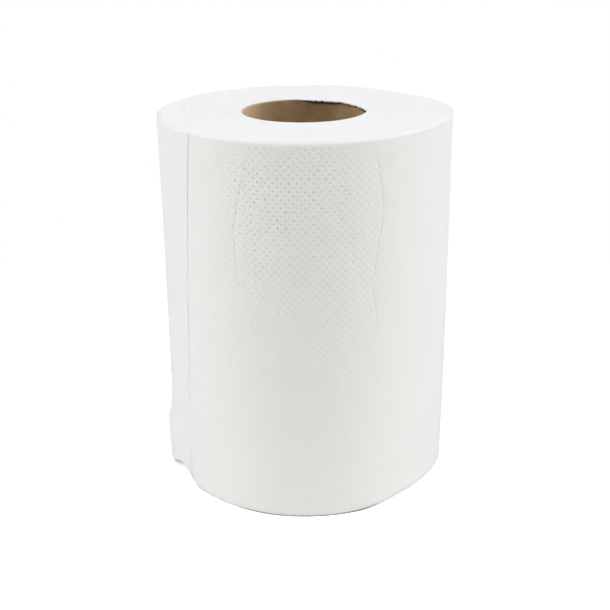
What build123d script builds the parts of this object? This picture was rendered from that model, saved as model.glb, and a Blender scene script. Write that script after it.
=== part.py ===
from build123d import *
import os
from math import atan2, cos, degrees, radians, sin

# Paper towel roll: a long web of soft embossed paper, wound on a cardboard core.
# Millimetres. Z runs up the core's axis, and the roll stands on the face at z = 0.
# Angles are in degrees round Z, counted from +X. The front of the roll faces -Y.

# Roll
roll_diameter = 140.0
roll_height = 180.0
rim_radius = 3.5                # the web's edges are soft and round at the upper end
foot_chamfer = 1.2              # and pressed flatter where the roll stands

# Core, a cardboard tube that the web is wound on, cut off with it at both ends
core_diameter = 59.4
core_wall = 1.2

# Web: the last turn ends in a free edge, and its foot lies further back than its head
lap_thickness = 0.5             # the outer turns are loose, at over twice the pitch of those inside
tail_angle = 223.0
tail_lean = 9.0

# Turns that show as a line winding outwards over each end, from the core to the rim
turn_pitch = 8.0                # one line for about forty real turns
turn_line_width = 0.5
turn_line_depth = 0.5
turn_margin = 2.5

# Loose corner: the foot of the last turn stands off the roll, open underneath
loose_span = 48.0
loose_height = 42.0
loose_proud = 2.4
loose_sheet = 0.6

# Crushed arches in the lower rim: angle, half width, height up the wall, reach under the roll
left_crush_angle = 208.5
left_crush_width = 20.0
left_crush_height = 8.5
left_crush_reach = 13.0
right_crush_angle = 328.0
right_crush_width = 36.0
right_crush_height = 3.8
right_crush_reach = 6.0

# Worked out from the sizes above
roll_radius = roll_diameter / 2
core_radius = core_diameter / 2
bore_radius = core_radius - core_wall
lap_growth = lap_thickness / 4
under_tail_radius = roll_radius - 3 * lap_growth
tail_foot_angle = tail_angle - tail_lean
loose_angle = tail_foot_angle - loose_span / 2
cutter_margin = 5.0


def direction(angle):
    """Unit vector that points away from the axis at an angle."""
    return Vector(cos(radians(angle)), sin(radians(angle)), 0)


def quarter_centre(start_angle, growth):
    """Centre of a quarter turn that starts at an angle.

    A spiral drawn with compasses: the centres of its quarter turns are the corners of a
    small square round the axis, and each quarter's radius is one side longer than the last.
    """
    return (direction(start_angle + 90) - direction(start_angle)) * (growth / 2)


def quarter_start(quarter):
    """Angle where a quarter turn starts, counted inwards from the tail."""
    return tail_angle - 90 * (quarter + 1)


def rounded_section(radius):
    """Half section of the wound web: soft at the upper rim, pressed flatter at the foot."""
    section = Rectangle(radius, roll_height, align=(Align.MIN, Align.MIN))
    foot = section.vertices().group_by(Axis.X)[-1].sort_by(Axis.Y)[0]
    section = chamfer(foot, foot_chamfer)
    rim = section.vertices().group_by(Axis.Y)[-1].sort_by(Axis.X)[-1]
    return fillet(rim, rim_radius)


def swept_section(section, start_angle, sweep, growth):
    """A half section turned about the centre of the quarter that starts at an angle."""
    turned = revolve(Plane.XZ * section, Axis.Z, sweep)
    return Pos(quarter_centre(start_angle, growth)) * Rot(0, 0, start_angle) * turned


def wound_body():
    """The web's last turn as four quarter turns, each a little wider than the one before."""
    seat = Cylinder(core_radius, roll_height, align=(Align.CENTER, Align.CENTER, Align.MIN))
    body = Part()
    for quarter in range(4):
        section = rounded_section(roll_radius - quarter * lap_growth)
        body += swept_section(section, quarter_start(quarter), 90, lap_growth) - seat
    return body


def half_space(origin, x_dir, normal):
    """A block large enough to cut all that lies on one side of a plane."""
    size = 4 * max(roll_diameter, roll_height)
    block = Box(size, size, size, align=(Align.CENTER, Align.CENTER, Align.MIN))
    return Plane(origin=origin, x_dir=x_dir, z_dir=normal) * block


def beyond_tail_edge():
    """All that lies past the tail's leaning free edge."""
    head = direction(tail_angle) * roll_radius + Vector(0, 0, roll_height)
    foot = direction(tail_foot_angle) * roll_radius
    outward = direction((tail_angle + tail_foot_angle) / 2)
    return half_space(foot, outward, (head - foot).cross(outward))


def tail_trim():
    """What the leaning edge takes off the last turn, down to the turn beneath it."""
    width = roll_radius + loose_proud + cutter_margin
    outside = Rectangle(width, roll_height, align=(Align.MIN, Align.MIN))
    outside -= rounded_section(under_tail_radius)
    sweep = tail_lean + 1
    ring = revolve(Plane.XZ * outside, Axis.Z, sweep)
    centre = quarter_centre(tail_angle, lap_growth)
    return Pos(centre) * Rot(0, 0, tail_angle - sweep) * ring & beyond_tail_edge()


def loose_cone(shrink):
    """A cone that stands off the roll at its foot and sinks into it at the top."""
    reach = roll_radius + loose_proud
    chord = roll_radius * cos(radians(loose_span / 2))
    offset = loose_proud * (roll_radius + reach) / (2 * (reach - chord))
    cone = Cone(
        reach - offset - shrink,
        roll_radius - offset - lap_thickness - shrink,
        loose_height,
        align=(Align.CENTER, Align.CENTER, Align.MIN),
    )
    return Pos(direction(loose_angle) * offset) * cone


def turns_beneath(laps):
    """The roll without its last few turns."""
    radius = roll_radius - laps * lap_thickness
    return Cylinder(radius, roll_height, align=(Align.CENTER, Align.CENTER, Align.MIN))


def loose_corner():
    """The sheet that stands off the roll, and the open space behind it."""
    sheet = loose_cone(0) - turns_beneath(2) - beyond_tail_edge()
    return sheet, loose_cone(loose_sheet) - turns_beneath(1)


def rim_crush(angle, half_width, height, reach):
    """A round bar that rises outwards through the lower rim and leaves an arch in it."""
    slope = degrees(atan2(height, reach))
    drop = height * cos(radians(slope))
    bar_radius = (half_width**2 + drop**2) / (2 * drop)
    outward = direction(angle)
    tangent = direction(angle + 90)
    along = outward * cos(radians(slope)) + Vector(0, 0, sin(radians(slope)))
    top_line_foot = outward * (roll_radius - reach)
    centre = top_line_foot + tangent.cross(along) * bar_radius
    return Plane(origin=centre, x_dir=tangent, z_dir=along) * Cylinder(bar_radius, 2 * roll_diameter)


def turn_line(outer_limit):
    """The line between turns, as a flat band that winds outwards from the core."""
    growth = turn_pitch / 4
    inner_limit = core_radius + turn_margin
    inner_side = []
    outer_side = []
    first = int((roll_radius - outer_limit) / growth) + 1
    last = int((roll_radius - inner_limit) / growth) - 1
    for quarter in range(last, first - 1, -1):
        start = quarter_start(quarter)
        radius = roll_radius - quarter * growth
        centre = quarter_centre(start, growth)
        inner_side.append(CenterArc(centre, radius - turn_line_width / 2, start, 90))
        outer_side.append(CenterArc(centre, radius + turn_line_width / 2, start, 90))
    ends = [
        Line(inner_side[0] @ 0, outer_side[0] @ 0),
        Line(inner_side[-1] @ 1, outer_side[-1] @ 1),
    ]
    return make_face(inner_side + outer_side + ends)


def turn_line_cuts():
    """The turn lines of both ends. The lower one stays clear of the crushed rim."""
    crush_reach = max(left_crush_reach, right_crush_reach)
    lower = extrude(
        turn_line(roll_radius - crush_reach - turn_margin),
        turn_line_depth + cutter_margin,
    )
    upper = extrude(
        turn_line(roll_radius - rim_radius - turn_margin),
        turn_line_depth + cutter_margin,
    )
    return Pos(0, 0, -cutter_margin) * lower, Pos(0, 0, roll_height - turn_line_depth) * upper


def paper_winding():
    """The whole web as one solid: its turns, free edge, loose corner and crushed rim."""
    body = wound_body()
    for cut in turn_line_cuts():
        body -= cut
    sheet, space_behind = loose_corner()
    body = body - tail_trim() + sheet - space_behind
    body -= rim_crush(left_crush_angle, left_crush_width, left_crush_height, left_crush_reach)
    body -= rim_crush(right_crush_angle, right_crush_width, right_crush_height, right_crush_reach)
    return body


def cardboard_core():
    """The tube that the web is wound on. The web's first turn lies against it."""
    tube = Cylinder(core_radius, roll_height, align=(Align.CENTER, Align.CENTER, Align.MIN))
    tube -= Cylinder(bore_radius, roll_height, align=(Align.CENTER, Align.CENTER, Align.MIN))
    return tube


os.makedirs("parts", exist_ok=True)
export_step(paper_winding(), "parts/paper_winding.step")
export_step(cardboard_core(), "parts/cardboard_core.step")
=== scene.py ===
import math

import bpy
import numpy as np
from mathutils import Matrix, Vector


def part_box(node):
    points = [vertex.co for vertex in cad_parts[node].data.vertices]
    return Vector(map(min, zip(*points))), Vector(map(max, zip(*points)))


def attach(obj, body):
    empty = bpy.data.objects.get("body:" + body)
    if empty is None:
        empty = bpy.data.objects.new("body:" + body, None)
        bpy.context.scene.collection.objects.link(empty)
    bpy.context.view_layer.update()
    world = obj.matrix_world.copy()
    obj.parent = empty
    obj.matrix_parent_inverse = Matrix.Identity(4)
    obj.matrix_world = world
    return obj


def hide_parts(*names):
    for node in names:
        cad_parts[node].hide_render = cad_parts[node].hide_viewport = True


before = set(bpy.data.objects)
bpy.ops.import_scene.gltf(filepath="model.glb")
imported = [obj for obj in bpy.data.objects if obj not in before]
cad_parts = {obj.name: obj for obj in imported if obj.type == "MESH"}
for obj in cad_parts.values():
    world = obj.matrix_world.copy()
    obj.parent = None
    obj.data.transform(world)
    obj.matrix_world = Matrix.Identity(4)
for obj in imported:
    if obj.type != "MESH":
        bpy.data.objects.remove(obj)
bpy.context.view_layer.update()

# Sizes in metres. Angles go round the roll from its front, growing to the right.
MM = 0.001
paper_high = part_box("paper_winding")[1]
core_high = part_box("cardboard_core")[1]
roll_height = paper_high.z
roll_radius = 70.0 * MM
core_radius = core_high.x
core_wall = 1.2 * MM
turn_length = 2 * math.pi * roll_radius

# The web: how it is wound, and how its free edge lies, with heights and steps in mm
lap = 0.5 * MM
sheet = 0.44 * MM
tail_angle = math.radians(-46.6)
tail_lean = math.radians(9.2)
lean_curve = 1.6
lean_reach = 0.6 * turn_length
tail_length = 76.0 * MM
loose_to = 0.7 * tail_length
edge_reach = 2.2 * MM
edge_heights = (0, 60, 95, 112, 135, 160, 180)
edge_steps = (0.05, 0.07, 0.12, 0.20, 0.26, 0.38, 0.38)
edge_tear = 0.22 * MM
tear_pitch = 4.4 * MM
tear_wander = 0.6

# Places where the free edge curls out further: height, reach and size in mm
lips = ((95, 8, 0.14), (18, 9, 0.03))

# The rounded rim and foot of the roll, and where the foot is rounded more
front_rim_radius = 1.6 * MM
side_rim_radius = 0.5 * MM
rim_narrowing = 6
rim_bend = math.radians(66)
foot_radius = 1.2 * MM
foot_bend = math.radians(60)
worn_foot_radius = 5.0 * MM
worn_foot_angle = math.radians(49)
worn_foot_reach = math.radians(38)

# The crushed lower left rim, and the pocket of loose paper above it: lifts, heights and depths in mm
crush_degrees = (-86, -83, -79, -76.5, -74, -71, -67, -63.5, -60.6, -57.6, -56.1, -53.6, -46.6, -41)
crush_lifts = (0.0, 0.3, 0.8, 1.6, 2.8, 4.9, 6.8, 7.8, 6.7, 3.9, 2.4, 1.2, 0.3, 0.0)
crush_depth = 13.0 * MM
crush_fade = 30.0 * MM
pocket_angle = math.radians(-86)
pocket_reach_left = math.radians(30)
pocket_reach_right = math.radians(33)
pocket_heights = (0, 5, 8, 11.5, 18, 22.5, 24.3, 26.4, 28.5, 35, 41)
pocket_depths = (2.8, 2.2, 2.5, 2.8, 2.6, 2.7, 1.9, 1.4, 1.1, 0.5, 0.0)

# How the roll stands out of true: in soft lobes all round, and on each side in mm by its height
swell_seed = 11
swell_lobes = range(2, 12)
swell_size = 0.30 * MM
swell_climb = 30.0
side_angle = math.radians(84)
side_reach = math.radians(58)
left_heights = (20, 50, 90, 112, 132, 155, 180)
left_bulges = (0.0, 0.2, 0.0, -0.33, -0.62, -0.45, -0.40)
right_heights = (0, 45, 85, 115, 142, 170, 180)
right_bulges = (0.7, 1.0, 0.92, 0.48, 0.27, 0.0, 0.35)

# The mouth of the core, which is shifted, wide and sags, and the uneven end round it. Depths in mm.
mouth_shift = -0.7 * MM
mouth_wide = 0.6 * MM
mouth_reach = 4.5 * MM
wide_from = 0.5 * roll_height
sag_from = 0.9 * roll_height
sag_degrees = (76, 96, 127, 139, 150, 168, 185, 200)
sag_depths = (0.0, 0.9, 0.9, 0.4, 0.62, 0.75, 0.25, 0.0)
rise_from = 0.85 * roll_height
end_degrees = (20, 50, 90, 105, 131, 150, 165)
end_rises = (0.0, 0.5, 0.5, -0.1, -0.8, -0.25, 0.0)

# The embossing: staggered rows of small round pits, uneven by shares of their depth and radius
pit_pitch = 3.45 * MM
pit_row = 1.8 * MM
pit_radius = 0.58 * MM
pit_depth = 0.3 * MM
pit_lip = 0.12
pit_depths = (0.45, 1.35)
pit_radii = (0.92, 1.08)
pit_slip_mm = 0.05
pit_seed = 7

# Where the embossing stands: clear in the upper middle of the front, and pressed flatter elsewhere
clear_within = math.radians(14)
flat_beyond = math.radians(44)
flatter_right = math.radians(12)
flatter_left = 0.25 * flatter_right
flat_below = 25 * MM
clear_above = 162 * MM
flat_relief = 0.2
back_from = math.radians(72)
back_to = math.radians(105)
back_relief = 0.7
end_from = 0.8 * tail_length
end_to = 1.4 * tail_length
end_relief = 0.45
rim_flattening = 0.35
rim_flat_reach = 12 * MM
pit_fade = 1.2 * MM

# Faint creases that wander down the paper: heights in mm, and degrees from the front
crease_depth = 0.10 * MM
crease_width = 0.75 * MM
crease_fade = 2 * MM
crease_unevenness = 0.5
creases = (
    ((171, 155, 141, 132, 114), (-20.9, -24.3, -26.4, -26.2, -25.4)),
    ((170, 152, 140, 134, 113, 96, 91), (26.1, 28.6, 28.0, 26.8, 24.9, 27.2, 27.3)),
    ((173, 163), (-66.5, -68.0)),
)


# Smooth changes and slight unevenness
def smooth(low, high, value):
    """From 0 at low to 1 at high, with level ends."""
    share = np.clip((value - low) / (high - low), 0.0, 1.0)
    return share * share * (3.0 - 2.0 * share)


def hump(offset, before, after):
    """One where the offset is nothing, fading to 0 at `before` under it and `after` over it."""
    reach = np.where(offset < 0.0, before, after)
    return np.cos(np.clip(np.abs(offset) / reach, 0.0, 1.0) * (math.pi / 2)) ** 2


def waves(seed, count, slowest, fastest):
    """A fixed random wavy line: a function from a length or turn count to about -1 to 1."""
    draw = np.random.default_rng(seed)
    rates = np.exp(draw.uniform(math.log(slowest), math.log(fastest), count))
    starts = draw.uniform(0.0, 2 * math.pi, count)
    sizes = draw.uniform(0.5, 1.0, count) / math.sqrt(count)

    def line(value):
        total = np.zeros_like(value)
        for rate, start, size in zip(rates, starts, sizes):
            total += size * np.sin(2 * math.pi * rate * value + start)
        return total

    return line


def from_front(angle):
    """The same angle, from half a turn left of the front to half a turn right of it."""
    return (angle + math.pi) % (2 * math.pi) - math.pi


def swell(angle, height):
    """How far the wound paper stands out of true, in soft flats and hollows."""
    draw = np.random.default_rng(swell_seed)
    total = np.zeros_like(angle + height)
    for lobes in swell_lobes:
        size = swell_size / lobes * draw.uniform(0.5, 1.0)
        start = draw.uniform(0.0, 2 * math.pi)
        climb = draw.uniform(-swell_climb, swell_climb)
        total += size * np.sin(lobes * angle + climb * height + start)
    left = hump(from_front(angle) + side_angle, side_reach, side_reach)
    right = hump(from_front(angle) - side_angle, side_reach, side_reach)
    total += MM * left * np.interp(height / MM, left_heights, left_bulges)
    return total + MM * right * np.interp(height / MM, right_heights, right_bulges)


# The shape of the wound web
def foot_round(angle):
    """The radius of the roll's foot, larger where it is worn round."""
    worn = hump(from_front(angle) - worn_foot_angle, worn_foot_reach, worn_foot_reach)
    return foot_radius + (worn_foot_radius - foot_radius) * worn


def rim_round(angle):
    """The radius of the upper rim, largest at the front."""
    share = 0.5 + 0.5 * np.cos(angle)
    return side_rim_radius + (front_rim_radius - side_rim_radius) * share ** rim_narrowing


def crush_lift(angle):
    """How far the rim of the foot is pushed up."""
    return MM * np.interp(np.degrees(from_front(angle)), crush_degrees, crush_lifts)


def pocket(angle, height):
    """How far the loose end bags out from the roll, low on the left."""
    around = hump(from_front(angle) - pocket_angle, pocket_reach_left, pocket_reach_right)
    return MM * around * np.interp(height / MM, pocket_heights, pocket_depths)


crease_breaks = waves(23, count=5, slowest=60.0, fastest=200.0)


def from_line(heights, degrees, angle, height):
    """The angle between a place and the line of a crease."""
    return from_front(angle) - np.radians(np.interp(-height / MM, -np.array(heights), degrees))


def crease_dip(angle, height):
    """The depth of the creases at a place on the roll."""
    total = np.zeros_like(angle)
    for heights, degrees in creases:
        across = from_line(heights, degrees, angle, height) * roll_radius / crease_width
        ends = smooth(heights[-1] * MM - crease_fade, heights[-1] * MM, height)
        ends *= 1.0 - smooth(heights[0] * MM, heights[0] * MM + crease_fade, height)
        total += np.exp(-across * across) * ends
    return crease_depth * total * (1.0 + crease_unevenness * crease_breaks(height))


def from_crease(heights, degrees, angle, height, away):
    """How far a place lies from a crease, in mm: beside it, past its ends, and on another turn."""
    beside = from_line(heights, degrees, angle, height) * roll_radius / MM
    beyond = np.maximum(height / MM - heights[0], 0.0) + np.maximum(heights[-1] - height / MM, 0.0)
    return np.stack((beside, beyond, away), axis=1)


def column_length(foot, rim):
    """The length of paper from the foot's rounding to the edge on the rim."""
    return foot * foot_bend + (roll_height - rim - foot) + rim * rim_bend


web_width = column_length(foot_radius, front_rim_radius)


def edge_step(up):
    """How far the free edge stands over the turn beneath it."""
    return MM * np.interp(up / MM, edge_heights, edge_steps)


def wound_place(along, up, out):
    """Where a point of the web lies: along it from its free edge, up it, and out of its face."""
    lean = tail_lean * (1.0 - (up / web_width) ** lean_curve)
    angle = tail_angle - along / roll_radius - lean * (1.0 - smooth(0.0, lean_reach, along))
    foot = foot_round(angle)
    rim = rim_round(angle)
    length = up * column_length(foot, rim) / web_width
    foot_turn = np.minimum(length / foot - foot_bend, 0.0)
    rim_start = foot * foot_bend + roll_height - rim - foot
    rim_turn = np.maximum((length - rim_start) / rim, 0.0)
    straight = np.clip(length, foot * foot_bend, rim_start) - foot * foot_bend
    radius = roll_radius - lap * along / turn_length
    radius -= foot * (1.0 - np.cos(foot_turn)) + rim * (1.0 - np.cos(rim_turn))
    height = foot * (1.0 + np.sin(foot_turn)) + straight + rim * np.sin(rim_turn)
    loose = 1.0 - smooth(loose_to, tail_length, along)
    curl = edge_step(height) - lap
    for middle, reach, size in lips:
        curl += size * MM * hump(height / MM - middle, reach, reach)
    standing = curl * np.exp(-np.maximum(along, 0.0) / edge_reach) + pocket(angle, height)
    radius += swell(angle, height) + loose * standing - crease_dip(angle, height)
    bend = foot_turn + rim_turn
    radius += out * np.cos(bend)
    height += out * np.sin(bend)
    height += crush_lift(angle) * np.maximum(1.0 - height / crush_fade, 0.0) ** 2
    return np.stack((radius * np.sin(angle), -radius * np.cos(angle), height), axis=1)


def settled(places):
    """Places moved with the core: it leans left, its mouth is wide and sags, and the end is uneven."""
    radius = np.hypot(places[:, 0], places[:, 1])
    angle = np.arctan2(places[:, 0], -places[:, 1])
    share = np.clip((roll_radius - radius) / (roll_radius - core_radius), 0.0, 1.0)
    beside = np.exp(-np.maximum(radius - core_radius, 0.0) / mouth_reach)
    wide = mouth_wide * np.sin(angle) ** 2 * beside
    wide *= smooth(wide_from, roll_height, places[:, 2])
    places[:, :2] *= (1.0 + wide / radius)[:, None]
    sag = MM * np.interp(np.degrees(angle) % 360, sag_degrees, sag_depths)
    places[:, 2] -= sag * beside * smooth(sag_from, roll_height, places[:, 2])
    rise = MM * np.interp(np.degrees(angle), end_degrees, end_rises) * (1.0 - share)
    places[:, 2] += rise * smooth(rise_from, roll_height, places[:, 2])
    places[:, 0] += mouth_shift * share * places[:, 2] / roll_height
    return places


class Skin:
    """Points on a flat plan, and the triangles between them, joined strip by strip."""

    def __init__(self):
        self.points = []
        self.faces = []

    def add(self, across, up, out):
        """Adds points by their plan and how far they stand out of it, and gives their numbers."""
        first = len(self.points)
        across, up, out = np.broadcast_arrays(across, up, out)
        self.points.extend(zip(across.tolist(), up.tolist(), out.tolist()))
        return list(range(first, len(self.points)))

    def gap(self, one, other):
        """The squared distance between two points."""
        first, second = self.points[one], self.points[other]
        return sum((a - b) ** 2 for a, b in zip(first, second))

    def join(self, one, other):
        """Fills the strip between two lines of points, always by the shorter diagonal."""
        i, j = 0, 0
        while i < len(one) - 1 or j < len(other) - 1:
            other_done = j == len(other) - 1
            if i < len(one) - 1 and (
                other_done or self.gap(one[i + 1], other[j]) <= self.gap(one[i], other[j + 1])
            ):
                self.faces.append((one[i], other[j], one[i + 1]))
                i += 1
            else:
                self.faces.append((one[i], other[j], other[j + 1]))
                j += 1

    def columns(self):
        """The plan and the standing-out as three arrays."""
        return np.array(self.points).T


sharp_angle = math.radians(55)


def make_piece(name, places, faces, replaced, marks):
    """A mesh piece that rides on the roll and stands for a CAD node."""
    mesh = bpy.data.meshes.new(name)
    mesh.from_pydata([tuple(place) for place in settled(places).tolist()], [], faces)
    mesh.shade_smooth()
    mesh.set_sharp_from_angle(angle=sharp_angle)
    for mark, values in marks.items():
        kind = "FLOAT_VECTOR" if values.ndim == 2 else "FLOAT"
        layer = mesh.attributes.new(mark, kind, "POINT")
        field = "vector" if values.ndim == 2 else "value"
        layer.data.foreach_set(field, values.astype(np.float32).ravel())
    mesh.validate()
    piece = bpy.data.objects.new(name, mesh)
    bpy.context.scene.collection.objects.link(piece)
    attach(piece, "root")
    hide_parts(replaced)
    return piece


# The embossed sheet: the wall of the roll, its loose end, and the rows of pits
ring_angles = np.radians((90, 30, -30, -90, -150, 150))
rim_rows = np.array((0.0, 0.35, 0.7, 1.3, 2.2)) * MM
plain_rim = 3.4 * MM
first_pits = web_width - plain_rim
last_pits = 0.6 * pit_row
tucked_in = 0.45 * MM
tucked_share = 0.3
tucked_under = 1.2 * MM
skirt_out = -1.2 * sheet
edge_thickness = 0.9
edge_points = 150
pits_past_edge = 8 * MM
hidden_columns, hidden_points = 14, 32
inner_columns, inner_points = 17, 46
inner_from = 4 * MM
edge_wander = waves(31, count=6, slowest=100.0, fastest=350.0)


def relief(along, up):
    """How far the embossing still stands: flatter at the sides, the foot, the end and the rim."""
    angle = from_front(tail_angle - along / roll_radius - tail_lean * (1.0 - up / web_width))
    aside = np.where(angle < 0.0, flatter_left - angle, angle + flatter_right)
    front = 1.0 - smooth(clear_within, flat_beyond, aside)
    share = flat_relief + (1.0 - flat_relief) * front * smooth(flat_below, clear_above, up)
    share = np.maximum(share, back_relief * smooth(back_from, back_to, np.abs(angle)))
    share *= 1.0 - (1.0 - end_relief) * (1.0 - smooth(end_from, end_to, along))
    share *= 1.0 - rim_flattening * smooth(first_pits - rim_flat_reach, first_pits, up)
    return share * (1.0 - smooth(first_pits, first_pits + pit_fade, up))


def pit_column(skin, along, shift, draw):
    """One upright line of pits. Gives its left side, its right side and both end points."""
    top = skin.add(along, web_width - rim_rows, 0.0)
    left, right = list(top), list(top)
    centre = first_pits - pit_row * shift
    while centre > last_pits:
        depth = pit_depth * draw.uniform(*pit_depths) * relief(along, centre)
        slip = draw.uniform(-pit_slip_mm, pit_slip_mm, 2) * MM
        radii = pit_radius * draw.uniform(*pit_radii, len(ring_angles))
        across = along + slip[0] + radii * np.cos(ring_angles)
        up = centre + slip[1] + radii * np.sin(ring_angles)
        middle = skin.add(np.array([along + slip[0]]), centre + slip[1], -depth)[0]
        ring = skin.add(across, up, -pit_lip * depth)
        for corner, after in zip(ring, ring[1:] + ring[:1]):
            skin.faces.append((middle, corner, after))
        right += ring[:4]
        left += [ring[0], ring[5], ring[4], ring[3]]
        centre -= 2 * pit_row
    foot = skin.add(np.array([along]), 0.0, 0.0)
    return left + foot, right + foot, top[0], foot[0]


def plain_column(skin, along, points, out, tuck=0.0):
    """One upright line of points, its upper end tucked in over the turns beneath."""
    up = np.linspace(web_width, 0.0, points)
    up[0] += tuck
    line = skin.add(along, up, np.where(up > web_width, tucked_share * out, out))
    return line, line, line[0], line[-1]


def torn_edge(points):
    """The free edge: short tabs left by the perforation."""
    up = np.linspace(web_width, 0.0, points)
    tabs = np.sin(2 * math.pi * up / tear_pitch)
    return -edge_tear * tabs - edge_tear * tear_wander * edge_wander(up)


def outer_face(skin):
    """The outer face: from the torn edge all round the roll, and on under the loose end."""
    draw = np.random.default_rng(pit_seed)
    lines = [plain_column(skin, torn_edge(edge_points), edge_points, 0.0)]
    half_pitch = pit_pitch / 2
    count = int((turn_length + pits_past_edge) / half_pitch)
    for number in range(1, count + 1):
        lines.append(pit_column(skin, number * half_pitch, number % 2, draw))
    hidden_from = (count + 2) * half_pitch
    for along in np.linspace(hidden_from, turn_length + tail_length, hidden_columns):
        lines.append(plain_column(skin, along, hidden_points, 0.0))
    for before, after in zip(lines, lines[1:]):
        skin.join(before[1], after[0])
    return lines


def inner_face(skin):
    """The inner face of the loose end."""
    under = -edge_thickness * edge_step(np.linspace(web_width, 0.0, edge_points))
    lines = [plain_column(skin, torn_edge(edge_points), edge_points, under, tucked_in)]
    for along in np.linspace(inner_from, tail_length, inner_columns):
        lines.append(plain_column(skin, along, inner_points, -sheet, tucked_in))
    for before, after in zip(lines, lines[1:]):
        skin.join(after[0], before[0])
    return lines


def close_sheet(skin, outer, inner):
    """Joins the faces round the loose end, and tucks the sheet's rim and foot under elsewhere."""
    skin.join(inner[0][0], outer[0][0])
    skin.join(outer[-1][0], inner[-1][0])
    loose = [column for column in outer if skin.points[column[2]][0] <= tail_length]
    wound = outer[len(loose) - 1:]
    skin.join([column[2] for column in loose], [column[2] for column in inner])
    skin.join([column[3] for column in inner], [column[3] for column in loose])
    for end, step in ((2, 1), (3, -1)):
        line = [column[end] for column in wound][::step]
        along = np.array([skin.points[number][0] for number in line])
        level = web_width if end == 2 else 0.0
        inward = -tucked_under if end == 2 else tucked_under
        lip = skin.add(along, level, -sheet)
        skirt = skin.add(along, level + inward, skirt_out)
        skin.join(line, lip)
        skin.join(lip, skirt)


def embossed_sheet():
    """The outer turn of the web with its loose end, closed round the edge and under it."""
    skin = Skin()
    outer = outer_face(skin)
    inner = inner_face(skin)
    close_sheet(skin, outer, inner)
    along, up, out = skin.columns()
    places = wound_place(along, up, out)
    angle = np.arctan2(places[:, 0], -places[:, 1])
    away = np.maximum(0.5 * turn_length - along, 0.0) / MM
    marks = {
        "web": np.stack((along, up, np.zeros_like(up)), axis=1) / MM,
        "relief": relief(along, up),
    }
    for number, crease in enumerate(creases[:2]):
        marks[f"crease_{number}"] = from_crease(*crease, angle, places[:, 2], away)
    return make_piece(
        "embossed_sheet", places, skin.faces,
        "paper_winding", marks,
    )


# The two ends: the edges of all the turns, wound in one spiral
turn_steps = 240
loose_turn = tail_length / turn_length
first_turn = 1.0 + loose_turn
past_core = 0.3 * MM
last_turn = (roll_radius - core_radius + past_core) / lap
lap_blend = 0.95
foot_clearance = 0.02 * MM
edge_shares = (0.0, 0.20, 0.80)
edge_rows = len(edge_shares)
drift_size = 0.05 * MM
ripple_size = 0.012 * MM
groove_least, groove_more = 0.02, 0.08
groove_grows = 6.0
wander_size = 0.10
skirt_depth = 0.9 * MM
skirt_spread = 0.0075
core_overlap = 0.35 * MM
core_skirt = 2 * MM


def end_place(turn, step_in, out, upper):
    """Where a point of an end lies: `turn` turns in, `step_in` of a lap on, and out of the face."""
    angle = tail_angle - turn * 2 * math.pi
    share = (turn - loose_turn) % 1.0
    outermost = loose_turn + share * (1.0 - smooth(lap_blend, 1.0, share))
    outer_radius = roll_radius - lap * outermost
    depth = lap * (turn + step_in - outermost)
    corner = rim_round(angle) if upper else foot_round(angle)
    first_bend = rim_bend if upper else foot_bend
    bend = first_bend + np.clip(depth / corner, 0.0, 1.0) * (math.pi / 2 - first_bend)
    level = roll_height if upper else 0.0
    radius = outer_radius - np.maximum(depth, corner) + corner * np.cos(bend)
    radius += swell(angle, np.full_like(angle, level)) * radius / roll_radius
    fall = corner * (1.0 - np.sin(bend))
    radius += out * np.cos(bend)
    if upper:
        height = roll_height - fall + out * np.sin(bend)
    else:
        reach = np.clip((radius - (roll_radius - crush_depth)) / crush_depth, 0.0, 1.0)
        height = np.maximum(fall - out * np.sin(bend), foot_clearance) + crush_lift(angle) * reach
    return np.stack((radius * np.sin(angle), -radius * np.cos(angle), height), axis=1)


def spiral_places(turn, upper, seed):
    """The points of the spiral: at each step a groove, then both sides of a flat paper edge."""
    drift = drift_size * waves(seed, count=9, slowest=0.1, fastest=0.5)(turn)
    ripple = ripple_size * waves(seed + 1, count=10, slowest=9.0, fastest=50.0)(turn)
    crest = drift + ripple
    opened = np.maximum(waves(seed + 2, count=7, slowest=0.15, fastest=0.9)(turn), 0.0)
    grown = smooth(first_turn, first_turn + groove_grows, turn)
    groove = crest - (groove_least + groove_more * opened) * grown * MM
    wander = wander_size * waves(seed + 3, count=8, slowest=4.0, fastest=30.0)(turn)
    rows = [
        end_place(turn, share + wander, out, upper)
        for share, out in zip(edge_shares, (groove, crest, crest))
    ]
    return np.stack(rows, axis=1).reshape(-1, 3)


def strip(one, other):
    """The faces between two lines that have as many points as each other."""
    return np.stack((one[:-1], other[:-1], other[1:], one[1:]), axis=1)


def spiral_faces(count):
    """The faces of the spiral: each groove's side, the flat edge, and the step to the next turn."""
    groove = np.arange(count + 1) * edge_rows
    near, far = groove + 1, groove + 2
    return [strip(groove, near), strip(near, far), strip(far[:-turn_steps], groove[turn_steps:])]


def spiral_mark(turn, places):
    """What the material reads at each point: how far along its turn it lies, and its turn."""
    spiral = places[: edge_rows * len(turn)]
    mark = np.zeros((len(places), 3))
    arc = np.repeat(turn * 2 * math.pi, edge_rows) * np.hypot(spiral[:, 0], spiral[:, 1])
    mark[: len(arc), 0] = arc / MM
    mark[: len(arc), 1] = np.repeat(turn, edge_rows) + np.tile(edge_shares, len(turn))
    return mark


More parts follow.
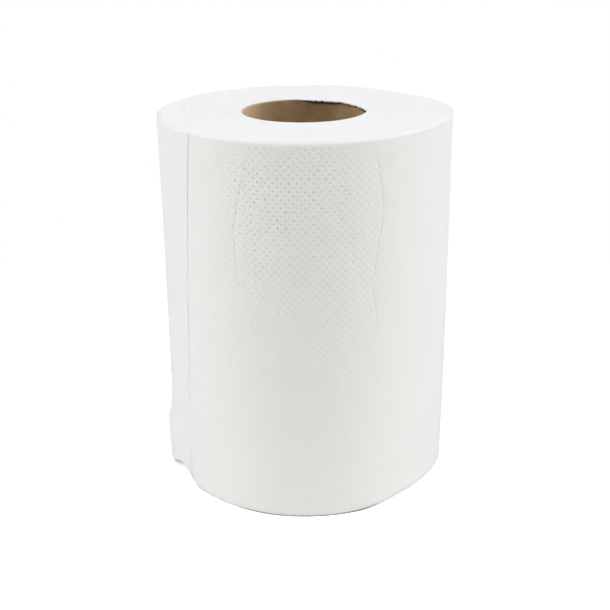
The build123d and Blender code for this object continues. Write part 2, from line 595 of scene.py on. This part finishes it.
def turn_edges(name, upper, seed):
    """One end of the roll in one long spiral, with a skirt under the sheet and one by the core."""
    count = int((last_turn - first_turn) * turn_steps)
    turn = first_turn + np.arange(count + 1) / turn_steps
    places = spiral_places(turn, upper, seed)
    rim = np.arange(turn_steps + 1)
    under = end_place(turn[rim], 0.0, np.full(len(rim), -skirt_depth), upper)
    under[:, :2] *= 1.0 + skirt_spread
    last = np.arange(count - turn_steps, count + 1) * edge_rows + edge_rows - 1
    down = places[last].copy()
    spread = (core_radius - core_overlap) / np.hypot(down[:, 0], down[:, 1])
    down[:, :2] *= spread[:, None]
    down[:, 2] += -core_skirt if upper else core_skirt
    under_line = len(places) + rim
    down_line = len(places) + len(under) + rim
    places = np.concatenate((places, under, down))
    skirts = [strip(under_line, rim * edge_rows), strip(last, down_line)]
    faces = np.concatenate(spiral_faces(count) + skirts)
    if not upper:
        faces = faces[:, ::-1]
    marks = {"edge": spiral_mark(turn, places)}
    return make_piece(name, places, faces.tolist(), "paper_winding", marks)


# The cardboard core: its bore, slightly out of round by lobes, and its rough cut end
core_columns = 360
bore_radius = core_radius - core_wall
bore_ovals = ((2, 0.16 * MM, 0.7), (3, 0.07 * MM, 2.0))
bore_step, bore_points = 6 * MM, 26
outside_points = 12
core_sunk = 0.45 * MM
level_size = 0.05 * MM
teeth_height = 0.45 * MM
teeth_low = -0.1
torn_depth = 0.1 * MM
cut_levels = np.array((0.06, -0.06, 0.08, -0.05, 0.02)) * MM
cut_depths = -np.linspace(0.15, 0.85, len(cut_levels)) * core_wall

# The seam that winds down the bore, by radians for each metre
seam_angle = math.radians(143)
seam_twist = 1.1
seam_depth = 0.10 * MM
seam_width = 0.30 * MM
seam_half = 0.6 * seam_width
seam_clear = 1.5 * seam_width
seam_lines = np.array((-1.0, -0.5, 0.5, 1.0)) * seam_width / bore_radius

# Where the cut end is dark, to a depth in mm, where it is torn, and where painted light makes the bore
# paler
band_degrees = (76, 82, 100, 138, 148, 160, 170, 180, 192, 198)
band_depths = (0.0, 0.35, 0.3, 0.5, 0.9, 1.0, 0.8, 0.35, 0.2, 0.0)
teeth_degrees = (78, 86, 168, 178)
painted_light_degrees = (212, 256, 300, 340)

# Rows of points down the bore from its cut end, in mm, closest where the end is dark
core_rows = (0.0, 0.3, 0.6, 0.9, 1.3, 1.7, 2.2, 2.8, 3.6, 4.6, 6.0, 8.0, 10.5, 13.5, 17.0)
core_level = waves(41, count=6, slowest=20.0, fastest=120.0)
core_teeth = waves(43, count=9, slowest=170.0, fastest=450.0)


def painted_light_side(angle):
    """Where painted light makes the bore paler: at the left."""
    begins, full, fades, ends = painted_light_degrees
    degrees = np.degrees(angle)
    return smooth(begins, full, degrees) * (1.0 - smooth(fades, ends, degrees))


def dark_band(angle):
    """How far down the cut end of the core is dark, in mm: most at the back right."""
    return np.interp(np.degrees(angle), band_degrees, band_depths)


def core_top(angle):
    """The height of the cut end: slightly uneven, with short teeth where it is ragged."""
    lengths = angle * bore_radius
    ragged = np.interp(np.degrees(angle), teeth_degrees, (0.0, 1.0, 1.0, 0.0))
    teeth = np.maximum(core_teeth(lengths), teeth_low)
    torn = (teeth_height * teeth - torn_depth) * ragged
    return roll_height - core_sunk + level_size * core_level(lengths) + torn


def bore_column(skin, across, top, depth):
    """One line down the bore."""
    rows = [top - row * MM for row in core_rows]
    rows += np.linspace(rows[-1] - bore_step, 0.0, bore_points).tolist()
    return skin.add(across, np.array(rows), -depth)


def core_place(across, up, out):
    """Where a point of the core lies: round its bore, up it, and out of its face to the axis."""
    angle = across / bore_radius + seam_twist * (roll_height - up)
    oval = sum(size * np.sin(lobes * angle + start) for lobes, size, start in bore_ovals)
    radius = bore_radius - out + oval * smooth(-core_wall, 0.0, out)
    return np.stack((radius * np.sin(angle), -radius * np.cos(angle), up), axis=1)


def core_tube():
    """The tube: its bore, its outside, and the ring of cut board at each end."""
    skin = Skin()
    angles = np.arange(core_columns) * 2 * math.pi / core_columns
    off_seam = angles[np.abs(angles - seam_angle) > seam_clear / bore_radius]
    angles = np.sort(np.append(off_seam, seam_angle + seam_lines))
    bores, outsides, cuts, feet = [], [], [], []
    for angle, top in zip(angles.tolist(), core_top(angles).tolist()):
        across = angle * bore_radius
        on_seam = abs(angle - seam_angle) * bore_radius < seam_half
        bores.append(bore_column(skin, across, top, seam_depth if on_seam else 0.0))
        outsides.append(skin.add(across, np.linspace(top, 0.0, outside_points), -core_wall))
        cut = skin.add(across, top + cut_levels, cut_depths)
        cuts.append([bores[-1][0]] + cut + [outsides[-1][0]])
        foot = skin.add(across, 0.0 * cut_levels, cut_depths)
        feet.append([bores[-1][-1]] + foot + [outsides[-1][-1]])
    for number in range(len(angles)):
        after = (number + 1) % len(angles)
        skin.join(bores[number], bores[after])
        skin.join(outsides[after], outsides[number])
        skin.join(cuts[after], cuts[number])
        skin.join(feet[number], feet[after])
    across, up, out = skin.columns()
    near_seam = np.abs(across - seam_angle * bore_radius) < seam_half
    on_seam = near_seam & (out > -2 * seam_depth)
    marks = {
        "board": np.stack((across, up, out), axis=1) / MM,
        "dark_band": dark_band(across / bore_radius),
        "painted_light": painted_light_side(across / bore_radius),
        "seam": on_seam.astype(float),
    }
    places = core_place(across, up, out)
    return make_piece("core_tube", places, skin.faces, "cardboard_core", marks)


# Shader nodes, written as sums
class Signal:
    """One output of a shader node, which adds, scales and compares like a number."""

    def __init__(self, finish, socket):
        self.finish = finish
        self.socket = socket

    def maths(self, operation, first, second=0.0):
        """One Math node."""
        return self.finish.node("Math", {"operation": operation}, {0: first, 1: second})

    def __add__(self, other):
        return self.maths("ADD", self, other)

    def __radd__(self, other):
        return self.maths("ADD", other, self)

    def __sub__(self, other):
        return self.maths("SUBTRACT", self, other)

    def __rsub__(self, other):
        return self.maths("SUBTRACT", other, self)

    def __mul__(self, other):
        return self.maths("MULTIPLY", self, other)

    def __rmul__(self, other):
        return self.maths("MULTIPLY", other, self)

    def __truediv__(self, other):
        return self.maths("DIVIDE", self, other)

    def __pow__(self, other):
        return self.maths("POWER", self, other)

    def least(self, other):
        return self.maths("MINIMUM", self, other)

    def nearest(self):
        return self.maths("ROUND", self)

    def between(self, low, high):
        """From 0 at low to 1 at high, with level ends."""
        settings = {"interpolation_type": "SMOOTHSTEP"}
        sockets = {"Value": self, "From Min": low, "From Max": high}
        return self.finish.node("MapRange", settings, sockets)


class Finish:
    """A node tree being built: a material's, or the world's."""

    def __init__(self, owner):
        owner.use_nodes = True
        self.owner = owner
        self.tree = owner.node_tree
        self.tree.nodes.clear()

    def node(self, kind, settings=None, sockets=None, output=0):
        """Adds one node: its settings first, then the values or links of its sockets."""
        made = self.tree.nodes.new("ShaderNode" + kind)
        for name, value in (settings or {}).items():
            setattr(made, name, value)
        for name, value in (sockets or {}).items():
            if isinstance(value, Signal):
                self.tree.links.new(value.socket, made.inputs[name])
            else:
                made.inputs[name].default_value = value
        return Signal(self, made.outputs[output]) if made.outputs else None

    def mark(self, name, output="Vector"):
        """What the mesh says of itself at a point, under that name."""
        return self.node("Attribute", {"attribute_name": name}, output=output)

    def amount(self, name):
        """The same, where it is a single number."""
        return self.mark(name, "Fac")

    def parts(self, vector):
        """The three numbers of a vector."""
        made = self.node("SeparateXYZ", sockets={0: vector})
        return [Signal(self, made.socket.node.outputs[axis]) for axis in range(3)]

    def noise(self, vector, scale, detail, roughness=0.55, stretch=(1.0, 1.0, 1.0)):
        """Soft random shades from 0 to 1, finer in the directions that are stretched more."""
        scales = tuple(scale * part for part in stretch)
        sized = self.node("VectorMath", {"operation": "MULTIPLY"}, {0: vector, 1: scales})
        sockets = {"Vector": sized, "Scale": 1.0, "Detail": detail, "Roughness": roughness}
        return self.node("TexNoise", sockets=sockets)

    def blend(self, share, first, second):
        """A colour between two others."""
        return self.node("Mix", {"data_type": "RGBA"}, {0: share, 6: first, 7: second}, output=2)

    def surface(self, colour, roughness, height, depth, **fixed):
        """Ends the material in one surface with its bumps."""
        bump = self.node("Bump", sockets={"Height": height, "Distance": depth, "Strength": 1.0})
        sockets = {"Base Color": colour, "Roughness": roughness, "Normal": bump}
        sockets.update({name.replace("_", " "): value for name, value in fixed.items()})
        shader = self.node("BsdfPrincipled", sockets=sockets)
        self.node("OutputMaterial", sockets={"Surface": shader})
        return self.owner


# The finish of the paper: its colours, the heights of its relief in mm, and how much random tone and
# painted shade darken it
paper_white = (0.900, 0.905, 0.882, 1.0)
paper_shade = (0.855, 0.860, 0.832, 1.0)
fibre_height = 0.035
crepe_height = 0.03
crepe_stretch = (3.2, 0.35, 1.0)
bowl_depth = 0.41
bowl_from, bowl_to = 0.05, 0.66
pressed_from, pressed_to = 0.2, 0.62
fold_depth = 0.2
fold_from, fold_to = 0.02, 0.45
# Painted shade darkens the rim's rounding, from these distances under its edge in mm
rim_painted_shade_from, rim_painted_shade_to = 2.4, 0.6
# Pits are darker: partly their pressed fibres, partly painted shade in the hollow
pit_tone_and_painted_shade = 0.1
# Painted shade darkens the paper along the creases
crease_painted_shade = 0.1
cloud_shade = 0.15
fibre_shade = 0.2
rim_painted_shade = 0.45
cloud_range = (0.35, 0.75)
uneven_range = (0.3, 0.68)
uneven_least, uneven_more = 0.5, 0.9
broken_range = (0.38, 0.52)
paper_rough, fibre_polish = 0.93, 0.1
paper_gloss = 0.25


def from_pits(along, up):
    """How far a place on the web lies from the middle of the nearest pit, in mm."""
    across_pitch = pit_pitch / MM
    upward_pitch = 2 * pit_row / MM
    column = along / across_pitch
    row = (up - first_pits / MM) / upward_pitch
    spots = []
    for shift in (0.0, 0.5):
        across = (column + shift) - (column + shift).nearest()
        upward = (row + shift) - (row + shift).nearest()
        across = across * across_pitch
        upward = upward * upward_pitch
        spots.append((across * across + upward * upward) ** 0.5)
    return spots[0].least(spots[1])


def fold(finish, name):
    """One on a crease, fading to 0 beside it."""
    beside, beyond, away = finish.parts(finish.mark(name))
    return 1.0 - (beside * beside + beyond * beyond + away * away).between(fold_from, fold_to)


def embossed_paper():
    """White tissue: fibres, fine crepe lines up the web, the pits, and a few faint creases, with
    painted shade in the pits and creases and on the rim.
    """
    finish = Finish(bpy.data.materials.new("embossed_paper"))
    web = finish.mark("web")
    along, up = finish.parts(web)[:2]
    from_pit = from_pits(along, up)
    fibres = finish.noise(web, scale=2.6, detail=6.0, roughness=0.62)
    crepe = finish.noise(web, scale=1.0, detail=2.0, roughness=0.5, stretch=crepe_stretch)
    cloud = finish.noise(web, scale=0.09, detail=2.0).between(*cloud_range)
    # Near a pit's middle the paper takes its pressed tone and painted shade
    pressed = 1.0 - from_pit.between(pressed_from, pressed_to)
    stand = finish.amount("relief")
    uneven = finish.noise(web, scale=0.45, detail=2.0).between(*uneven_range)
    uneven = uneven * uneven_more + uneven_least
    bowl = (1.0 - from_pit.between(bowl_from, bowl_to)) * stand * uneven
    broken = finish.noise(web, scale=0.22, detail=3.0, roughness=0.6).between(*broken_range)
    crease = (fold(finish, "crease_0") + fold(finish, "crease_1")) * broken
    height = fibres * fibre_height + crepe * crepe_height - bowl * bowl_depth - crease * fold_depth
    rim = up.between(web_width / MM - rim_painted_shade_from, web_width / MM - rim_painted_shade_to)
    # The share darkens the paper: painted shade in the pits (with their pressed fibres), in the
    # creases and on the rim, and random cloud and fibre tone
    share = pressed * stand * pit_tone_and_painted_shade + crease * crease_painted_shade
    share = share + cloud * cloud_shade + (1.0 - fibres) * fibre_shade + rim * rim_painted_shade
    colour = finish.blend(share, paper_white, paper_shade)
    rough = paper_rough - fibres * fibre_polish
    return finish.surface(colour, rough, height, MM, Specular_IOR_Level=paper_gloss)


# The finish of the turns' edges
fluff_height = 0.14 * MM
fluff_stretch = (1.0, 3.0, 1.0)
streak_stretch = (0.05, 1.3, 1.0)
streak_range = (0.45, 0.75)
streak_shade, fluff_shade = 0.2, 0.1
streak_part, fluff_part = 0.2, 0.6
cut_rough, cut_gloss = 0.95, 0.2


def cut_paper():
    """The edges of the turns: the same tissue cut across, with fluff and fine lines."""
    finish = Finish(bpy.data.materials.new("cut_paper"))
    edge = finish.mark("edge")
    fluff = finish.noise(edge, scale=1.6, detail=5.0, roughness=0.65, stretch=fluff_stretch)
    streak = finish.noise(edge, scale=1.0, detail=3.0, roughness=0.6, stretch=streak_stretch)
    share = streak.between(*streak_range) * streak_shade + (1.0 - fluff) * fluff_shade
    colour = finish.blend(share, paper_white, paper_shade)
    height = fluff * fluff_part + streak * streak_part
    return finish.surface(colour, cut_rough, height, fluff_height, Specular_IOR_Level=cut_gloss)


# The finish of the core: its colours, the dark band of its cut end, and the painted shade below it, in
# mm
board_light = (0.588, 0.418, 0.242, 1.0)
board_dark = (0.400, 0.264, 0.134, 1.0)
# Painted light: the paler colour of the bore's left side
board_painted_light = (0.83, 0.635, 0.42, 1.0)
# Near black: for the dark band at the cut end, and for the painted shade below it
board_band_and_painted_shade = (0.026, 0.015, 0.007, 1.0)
board_relief = 0.12 * MM
strip_lean = 0.65
strip_stretch = (0.5, 2.2, 1.0)
board_clouds = (0.3, 0.7)
board_specks = (0.66, 0.78)
board_shade, board_cloud_shade, board_fibre_shade, speck_shade = 0.22, 0.5, 0.9, 0.4
painted_light_speck_share = 0.3
seam_shade = 0.6
# Painted shade below the dark band, near and far from the cut end in mm
near_painted_shade, near_painted_shade_share = (0.0, 2.8), 0.5
far_painted_shade, far_painted_shade_share = (2.0, 9.0), 0.2
painted_shade_bands = (0.25, 0.8)
dark_edge_range = (-0.4, 0.4)
dark_edge_bands = (0.0, 0.3)
dark_edge_less, dark_edge_uneven = 0.3, 0.6
dark_edge_share = 0.95
fibre_part, speck_part = 0.7, 0.2
board_rough, fibre_rough = 0.78, 0.15
board_gloss = 0.3


def core_board():
    """Brown board: fibres, specks, streaks along the winding, a dark band at the cut end with painted
    shade fading below it, and painted light on the left of the bore.
    """
    finish = Finish(bpy.data.materials.new("core_board"))
    board = finish.mark("board")
    band = finish.amount("dark_band")
    around, up, depth = finish.parts(board)
    along_strip = around + up * strip_lean
    across_strip = up - around * strip_lean
    winding = finish.node("CombineXYZ", sockets={0: along_strip, 1: across_strip, 2: depth})
    fibres = finish.noise(winding, scale=1.0, detail=5.0, roughness=0.65, stretch=strip_stretch)
    cloud = finish.noise(board, scale=0.12, detail=3.0).between(*board_clouds)
    specks = finish.noise(board, scale=1.9, detail=2.0, roughness=0.5).between(*board_specks)
    share = cloud * board_cloud_shade + (fibres - 0.5) * board_fibre_shade
    share = share + specks * speck_shade + board_shade
    colour = finish.blend(share, board_light, board_dark)
    # Painted light makes the left of the bore paler
    painted_light = finish.amount("painted_light") * (1.0 - specks * painted_light_speck_share)
    colour = finish.blend(painted_light, colour, board_painted_light)
    colour = finish.blend(finish.amount("seam") * seam_shade, colour, board_light)
    from_top = (roll_height - core_sunk) / MM - up
    # Painted shade fades down the bore below the dark band
    painted_shade = (1.0 - from_top.between(*near_painted_shade)) * near_painted_shade_share
    painted_shade = painted_shade + (1.0 - from_top.between(*far_painted_shade)) * far_painted_shade_share
    colour = finish.blend(painted_shade * band.between(*painted_shade_bands), colour, board_band_and_painted_shade)
    # The cut end is darkened nearly to black in a band of uneven depth, most at the back right
    uneven = finish.noise(board, scale=0.9, detail=3.0, roughness=0.6)
    uneven = uneven * dark_edge_uneven - dark_edge_less
    dark_edge = (band - from_top + uneven * band).between(*dark_edge_range)
    dark_edge = dark_edge * band.between(*dark_edge_bands) * dark_edge_share
    colour = finish.blend(dark_edge, colour, board_band_and_painted_shade)
    height = fibres * fibre_part + specks * speck_part
    rough = board_rough + fibres * fibre_rough
    return finish.surface(colour, rough, height, board_relief, Specular_IOR_Level=board_gloss)


# The floor, its painted contact shadow that fades to both sides, and the light
floor_reach = 1.2
floor_shown = (2.5, 2.5, 2.5, 1.0)
# Painted contact shadow: the floor's colour where the roll's foot is close
floor_contact_shadow = (0.45, 0.45, 0.45, 1.0)
floor_lit = (0.80, 0.80, 0.80, 1.0)
contact_reach = 2.5 * MM
contact_samples = 16
contact_open = (0.40, 0.88)
right_fade = (0.024, 0.044)
left_fade = (0.026, 0.042)
left_fade_share = 0.45
white_from = 0.20
white_at = 0.40
plain_white = (1.0, 1.0, 1.0, 1.0)
ambient = 0.02
even_white = (1.0, 0.995, 1.02)
cool_white = (1.0, 0.995, 1.07)
warm_white = (1.0, 1.0, 0.92)


def floor_sheet():
    """A plain pale floor that goes over into the white surround away from the roll, with a painted
    contact shadow at the roll's foot.
    """
    mesh = bpy.data.meshes.new("floor")
    signs = ((-1, -1), (1, -1), (1, 1), (-1, 1))
    mesh.from_pydata([(x * floor_reach, y * floor_reach, 0.0) for x, y in signs], [], [(0, 1, 2, 3)])
    floor = bpy.data.objects.new("floor", mesh)
    bpy.context.scene.collection.objects.link(floor)
    finish = Finish(bpy.data.materials.new("pale_floor"))
    seen = finish.node("LightPath", output="Is Camera Ray")
    distances = {"Distance": contact_reach}
    open_sky = finish.node("AmbientOcclusion", {"samples": contact_samples}, distances, output="AO")
    place = finish.node("NewGeometry", output="Position")
    rightward = finish.parts(place)[0]
    # Painted shadow: the floor darkens close to the roll's foot, less so to the right and to the left
    painted_contact = finish.blend(rightward.between(*right_fade), floor_contact_shadow, floor_shown)
    to_left = (rightward * -1.0).between(*left_fade)
    painted_contact = finish.blend(to_left * left_fade_share, painted_contact, floor_shown)
    colour = finish.blend(open_sky.between(*contact_open), painted_contact, floor_shown)
    shown = finish.node("BsdfDiffuse", sockets={"Color": colour})
    lit = finish.node("BsdfDiffuse", sockets={"Color": floor_lit})
    white = finish.node("Emission", sockets={"Color": plain_white, "Strength": 1.0})
    distance = finish.node("VectorMath", {"operation": "LENGTH"}, {0: place}, output="Value")
    far = distance.between(white_from, white_at)
    pale = finish.node("MixShader", sockets={0: far, 1: shown, 2: white})
    mixed = finish.node("MixShader", sockets={0: seen, 1: lit, 2: pale})
    finish.node("OutputMaterial", sockets={"Surface": mixed})
    mesh.materials.append(finish.owner)


def white_surround():
    """A surround that lights softly and looks white."""
    world = bpy.data.worlds.new("surround")
    bpy.context.scene.world = world
    finish = Finish(world)
    path = finish.node("LightPath", output="Is Camera Ray")
    rays = path.socket.node.outputs
    mirrored = Signal(finish, rays["Is Glossy Ray"]) + Signal(finish, rays["Is Transmission Ray"])
    seen = path + mirrored
    lit = finish.node("Background", sockets={"Color": plain_white, "Strength": ambient})
    white = finish.node("Background", sockets={"Color": plain_white, "Strength": 1.0})
    mixed = finish.node("MixShader", sockets={0: seen.least(1.0), 1: lit, 2: white})
    finish.node("OutputWorld", sockets={"Surface": mixed})


# Each lamp by its name, place, size, power and colour
lamps = (
    ("top_light", (0.0, 0.0, 0.95), (0.7, 0.7), 2.15, cool_white),
    ("steep_light", (0.0, -0.22, 1.00), (1.4, 0.25), 4.75, even_white),
    ("right_light", (1.30, 0.05, 0.55), (0.9, 1.1), 9.95, even_white),
    ("left_light", (-1.30, 0.05, 0.50), (0.9, 1.1), 9.4, even_white),
    ("low_light", (0.0, -1.40, 0.12), (1.6, 0.22), 6.5, warm_white),
)


def soft_light(name, place, size, power, colour):
    """A large soft lamp that faces the roll."""
    lamp = bpy.data.lights.new(name, "AREA")
    lamp.shape = "RECTANGLE"
    lamp.size, lamp.size_y = size
    lamp.energy = power
    lamp.color = colour
    carrier = bpy.data.objects.new(name, lamp)
    aim = Vector((0.0, 0.0, roll_height / 2)) - Vector(place)
    carrier.location = place
    carrier.rotation_euler = aim.to_track_quat("-Z", "Y").to_euler()
    bpy.context.scene.collection.objects.link(carrier)


# The camera, in metres and in pixels of the photo
picture_width = 610
focal_pixels = 1051.84
sensor_width = 36.0
camera_place = Vector((-0.00063, -0.49828, 0.27575))
camera_pitch = math.radians(21.3725)
camera_roll = math.radians(-0.4963)


def photo_camera():
    """The camera, where the photograph was taken from."""
    lens = bpy.data.cameras.new("camera")
    lens.sensor_width = sensor_width
    lens.lens = focal_pixels / picture_width * sensor_width
    camera = bpy.data.objects.new("camera", lens)
    ahead = Vector((0.0, math.cos(camera_pitch), -math.sin(camera_pitch)))
    level_up = Vector((0.0, math.sin(camera_pitch), math.cos(camera_pitch)))
    level_right = Vector((1.0, 0.0, 0.0))
    right = math.cos(camera_roll) * level_right + math.sin(camera_roll) * level_up
    up = math.cos(camera_roll) * level_up - math.sin(camera_roll) * level_right
    turned = Matrix((right, up, -ahead)).transposed().to_4x4()
    camera.matrix_world = Matrix.Translation(camera_place) @ turned
    bpy.context.scene.collection.objects.link(camera)
    bpy.context.scene.camera = camera


# The scene
photo_camera()
white_surround()
floor_sheet()
for lamp in lamps:
    soft_light(*lamp)
bpy.context.scene.view_settings.view_transform = "Standard"

web = embossed_sheet()
web.data.materials.append(embossed_paper())
cut = cut_paper()
for name, upper, seed in (("upper_turns", True, 101), ("lower_turns", False, 202)):
    turn_edges(name, upper, seed).data.materials.append(cut)
core_tube().data.materials.append(core_board())
